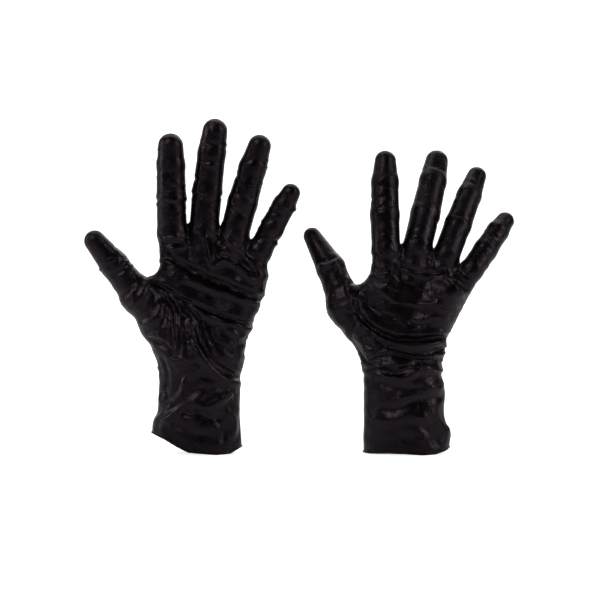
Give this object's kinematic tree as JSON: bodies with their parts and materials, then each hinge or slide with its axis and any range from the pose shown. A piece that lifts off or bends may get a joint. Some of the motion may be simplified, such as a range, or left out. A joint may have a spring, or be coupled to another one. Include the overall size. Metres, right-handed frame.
{
  "type": "pair of disposable gloves",
  "caption": "Pair of thin nitrile gloves filled out as worn: beaded cuffs, and wrists, thumbs and fingers that bend.",
  "frame": {"origin": "bottom centre of the pair's bounding box, on the surface that both cuff beads stand on", "axes": "+Z from the cuffs up to the fingertips, +X across the pair from the left glove to the right glove, +Y away from the viewer, who sees the left glove's palm and the right glove's back"},
  "size_m": [0.3204, 0.0624, 0.2469],
  "materials": {
    "film": "satin black nitrile film with fine creases",
    "bead": "satin black rolled nitrile bead"
  },
  "bodies": {
    "left_cuff": {"left_cuff": "film", "left_cuff_bead": "bead", "left_wrist_fold": "film"},
    "left_palm": {"left_palm": "film", "left_knuckle_folds": "film", "left_thumb_base_fold": "film"},
    "left_index_base": {"left_index_base": "film", "left_index_middle_fold": "film"},
    "left_index_middle": {"left_index_middle": "film", "left_index_tip_fold": "film"},
    "left_index_tip": {"left_index_tip": "film"},
    "left_middle_base": {"left_middle_base": "film", "left_middle_middle_fold": "film"},
    "left_middle_middle": {"left_middle_middle": "film", "left_middle_tip_fold": "film"},
    "left_middle_tip": {"left_middle_tip": "film"},
    "left_ring_base": {"left_ring_base": "film", "left_ring_middle_fold": "film"},
    "left_ring_middle": {"left_ring_middle": "film", "left_ring_tip_fold": "film"},
    "left_ring_tip": {"left_ring_tip": "film"},
    "left_little_base": {"left_little_base": "film", "left_little_middle_fold": "film"},
    "left_little_middle": {"left_little_middle": "film", "left_little_tip_fold": "film"},
    "left_little_tip": {"left_little_tip": "film"},
    "left_thumb_base": {"left_thumb_base": "film", "left_thumb_tip_fold": "film"},
    "left_thumb_tip": {"left_thumb_tip": "film"},
    "right_cuff": {"right_cuff": "film", "right_cuff_bead": "bead", "right_wrist_fold": "film"},
    "right_palm": {"right_palm": "film", "right_knuckle_folds": "film", "right_thumb_base_fold": "film"},
    "right_index_base": {"right_index_base": "film", "right_index_middle_fold": "film"},
    "right_index_middle": {"right_index_middle": "film", "right_index_tip_fold": "film"},
    "right_index_tip": {"right_index_tip": "film"},
    "right_middle_base": {"right_middle_base": "film", "right_middle_middle_fold": "film"},
    "right_middle_middle": {"right_middle_middle": "film", "right_middle_tip_fold": "film"},
    "right_middle_tip": {"right_middle_tip": "film"},
    "right_ring_base": {"right_ring_base": "film", "right_ring_middle_fold": "film"},
    "right_ring_middle": {"right_ring_middle": "film", "right_ring_tip_fold": "film"},
    "right_ring_tip": {"right_ring_tip": "film"},
    "right_little_base": {"right_little_base": "film", "right_little_middle_fold": "film"},
    "right_little_middle": {"right_little_middle": "film", "right_little_tip_fold": "film"},
    "right_little_tip": {"right_little_tip": "film"},
    "right_thumb_base": {"right_thumb_base": "film", "right_thumb_tip_fold": "film"},
    "right_thumb_tip": {"right_thumb_tip": "film"}
  },
  "joints": [
    {"name": "left_wrist_bend", "type": "hinge", "parent": "left_cuff", "child": "left_palm", "pos_m": [-0.0722, -0.0096, 0.057], "axis": [1, 0, 0], "range_deg": [-40, 50], "deforming": ["left_wrist_fold"]},
    {"name": "left_index_root_bend", "type": "hinge", "parent": "left_palm", "child": "left_index_base", "pos_m": [-0.0936, -0.01281, 0.16615], "axis": [0.9998, 0, 0.0175], "range_deg": [-15, 55], "deforming": ["left_knuckle_folds"]},
    {"name": "left_index_middle_bend", "type": "hinge", "parent": "left_index_base", "child": "left_index_middle", "pos_m": [-0.09397, -0.01427, 0.18709], "axis": [0.9998, 0, 0.0175], "range_deg": [0, 70], "deforming": ["left_index_middle_fold"]},
    {"name": "left_index_end_bend", "type": "hinge", "parent": "left_index_middle", "child": "left_index_tip", "pos_m": [-0.09441, -0.01602, 0.21203], "axis": [0.9998, 0, 0.0175], "range_deg": [0, 38.5], "deforming": ["left_index_tip_fold"]},
    {"name": "left_middle_root_bend", "type": "hinge", "parent": "left_palm", "child": "left_middle_base", "pos_m": [-0.06971, -0.01281, 0.16828], "axis": [0.994, 0, -0.1097], "range_deg": [-15, 55], "deforming": ["left_knuckle_folds"]},
    {"name": "left_middle_middle_bend", "type": "hinge", "parent": "left_middle_base", "child": "left_middle_middle", "pos_m": [-0.06708, -0.01448, 0.19208], "axis": [0.994, 0, -0.1097], "range_deg": [0, 70], "deforming": ["left_middle_middle_fold"]},
    {"name": "left_middle_end_bend", "type": "hinge", "parent": "left_middle_middle", "child": "left_middle_tip", "pos_m": [-0.06391, -0.0165, 0.22084], "axis": [0.994, 0, -0.1097], "range_deg": [0, 38.5], "deforming": ["left_middle_tip_fold"]},
    {"name": "left_ring_root_bend", "type": "hinge", "parent": "left_palm", "child": "left_ring_base", "pos_m": [-0.04706, -0.01281, 0.16342], "axis": [0.9622, 0, -0.2723], "range_deg": [-15, 55], "deforming": ["left_knuckle_folds"]},
    {"name": "left_ring_middle_bend", "type": "hinge", "parent": "left_ring_base", "child": "left_ring_middle", "pos_m": [-0.04108, -0.01434, 0.18454], "axis": [0.9622, 0, -0.2723], "range_deg": [0, 70], "deforming": ["left_ring_middle_fold"]},
    {"name": "left_ring_end_bend", "type": "hinge", "parent": "left_ring_middle", "child": "left_ring_tip", "pos_m": [-0.03375, -0.01622, 0.21046], "axis": [0.9622, 0, -0.2723], "range_deg": [0, 38.5], "deforming": ["left_ring_tip_fold"]},
    {"name": "left_little_root_bend", "type": "hinge", "parent": "left_palm", "child": "left_little_base", "pos_m": [-0.02722, -0.01285, 0.15247], "axis": [0.9003, 0, -0.4352], "range_deg": [-15, 55], "deforming": ["left_knuckle_folds"]},
    {"name": "left_little_middle_bend", "type": "hinge", "parent": "left_little_base", "child": "left_little_middle", "pos_m": [-0.02072, -0.01416, 0.16592], "axis": [0.9003, 0, -0.4352], "range_deg": [0, 70], "deforming": ["left_little_middle_fold"]},
    {"name": "left_little_end_bend", "type": "hinge", "parent": "left_little_middle", "child": "left_little_tip", "pos_m": [-0.01248, -0.01582, 0.18297], "axis": [0.9003, 0, -0.4352], "range_deg": [0, 38.5], "deforming": ["left_little_tip_fold"]},
    {"name": "left_thumb_root_bend", "type": "hinge", "parent": "left_palm", "child": "left_thumb_base", "pos_m": [-0.11518, -0.01604, 0.11637], "axis": [0.5667, 0.5667, 0.5981], "range_deg": [-10, 25], "deforming": ["left_thumb_base_fold"]},
    {"name": "left_thumb_end_bend", "type": "hinge", "parent": "left_thumb_base", "child": "left_thumb_tip", "pos_m": [-0.13532, -0.02035, 0.13954], "axis": [0.5667, 0.5667, 0.5981], "range_deg": [-5, 40], "deforming": ["left_thumb_tip_fold"]},
    {"name": "right_wrist_bend", "type": "hinge", "parent": "right_cuff", "child": "right_palm", "pos_m": [0.0763, -0.0096, 0.062], "axis": [-1, 0, 0], "range_deg": [-40, 50], "deforming": ["right_wrist_fold"]},
    {"name": "right_index_root_bend", "type": "hinge", "parent": "right_palm", "child": "right_index_base", "pos_m": [0.06458, -0.00622, 0.15499], "axis": [-1, 0, 0], "range_deg": [-15, 55], "deforming": ["right_knuckle_folds"]},
    {"name": "right_index_middle_bend", "type": "hinge", "parent": "right_index_base", "child": "right_index_middle", "pos_m": [0.06458, -0.00329, 0.17578], "axis": [-1, 0, 0], "range_deg": [0, 70], "deforming": ["right_index_middle_fold"]},
    {"name": "right_index_end_bend", "type": "hinge", "parent": "right_index_middle", "child": "right_index_tip", "pos_m": [0.06458, 0.00019, 0.20054], "axis": [-1, 0, 0], "range_deg": [0, 38.5], "deforming": ["right_index_tip_fold"]},
    {"name": "right_middle_root_bend", "type": "hinge", "parent": "right_palm", "child": "right_middle_base", "pos_m": [0.08849, -0.00559, 0.15511], "axis": [-0.9744, 0, 0.225], "range_deg": [-15, 55], "deforming": ["right_knuckle_folds"]},
    {"name": "right_middle_middle_bend", "type": "hinge", "parent": "right_middle_base", "child": "right_middle_middle", "pos_m": [0.09334, 0.00493, 0.17613], "axis": [-0.9744, 0, 0.225], "range_deg": [0, 70], "deforming": ["right_middle_middle_fold"]},
    {"name": "right_middle_end_bend", "type": "hinge", "parent": "right_middle_middle", "child": "right_middle_tip", "pos_m": [0.09921, 0.01764, 0.20153], "axis": [-0.9744, 0, 0.225], "range_deg": [0, 38.5], "deforming": ["right_middle_tip_fold"]},
    {"name": "right_ring_root_bend", "type": "hinge", "parent": "right_palm", "child": "right_ring_base", "pos_m": [0.11071, -0.00562, 0.14958], "axis": [-0.9367, 0, 0.3502], "range_deg": [-15, 55], "deforming": ["right_knuckle_folds"]},
    {"name": "right_ring_middle_bend", "type": "hinge", "parent": "right_ring_base", "child": "right_ring_middle", "pos_m": [0.11769, 0.00368, 0.16826], "axis": [-0.9367, 0, 0.3502], "range_deg": [0, 70], "deforming": ["right_ring_middle_fold"]},
    {"name": "right_ring_end_bend", "type": "hinge", "parent": "right_ring_middle", "child": "right_ring_tip", "pos_m": [0.12626, 0.01509, 0.19118], "axis": [-0.9367, 0, 0.3502], "range_deg": [0, 38.5], "deforming": ["right_ring_tip_fold"]},
    {"name": "right_little_root_bend", "type": "hinge", "parent": "right_palm", "child": "right_little_base", "pos_m": [0.13005, -0.00564, 0.13809], "axis": [-0.8387, 0, 0.5446], "range_deg": [-15, 55], "deforming": ["right_knuckle_folds"]},
    {"name": "right_little_middle_bend", "type": "hinge", "parent": "right_little_base", "child": "right_little_middle", "pos_m": [0.13751, 0.00046, 0.14959], "axis": [-0.8387, 0, 0.5446], "range_deg": [0, 70], "deforming": ["right_little_middle_fold"]},
    {"name": "right_little_end_bend", "type": "hinge", "parent": "right_little_middle", "child": "right_little_tip", "pos_m": [0.14697, 0.00819, 0.16415], "axis": [-0.8387, 0, 0.5446], "range_deg": [0, 38.5], "deforming": ["right_little_tip_fold"]},
    {"name": "right_thumb_root_bend", "type": "hinge", "parent": "right_palm", "child": "right_thumb_base", "pos_m": [0.03678, -0.00237, 0.10883], "axis": [-0.6241, 0.6241, -0.4701], "range_deg": [-10, 25], "deforming": ["right_thumb_base_fold"]},
    {"name": "right_thumb_end_bend", "type": "hinge", "parent": "right_thumb_base", "child": "right_thumb_tip", "pos_m": [0.02383, 0.00513, 0.13598], "axis": [-0.6241, 0.6241, -0.4701], "range_deg": [-5, 40], "deforming": ["right_thumb_tip_fold"]},
    {"name": "right_glove_slide", "type": "slide", "parent": "left_cuff", "child": "right_cuff", "axis": [1, 0, 0], "range_m": [0, 0.1]}
  ],
  "couplings": [
    {"joint": "left_index_end_bend", "follows": "left_index_middle_bend", "ratio": 0.55},
    {"joint": "left_middle_end_bend", "follows": "left_middle_middle_bend", "ratio": 0.55},
    {"joint": "left_ring_end_bend", "follows": "left_ring_middle_bend", "ratio": 0.55},
    {"joint": "left_little_end_bend", "follows": "left_little_middle_bend", "ratio": 0.55},
    {"joint": "right_index_end_bend", "follows": "right_index_middle_bend", "ratio": 0.55},
    {"joint": "right_middle_end_bend", "follows": "right_middle_middle_bend", "ratio": 0.55},
    {"joint": "right_ring_end_bend", "follows": "right_ring_middle_bend", "ratio": 0.55},
    {"joint": "right_little_end_bend", "follows": "right_little_middle_bend", "ratio": 0.55}
  ]
}
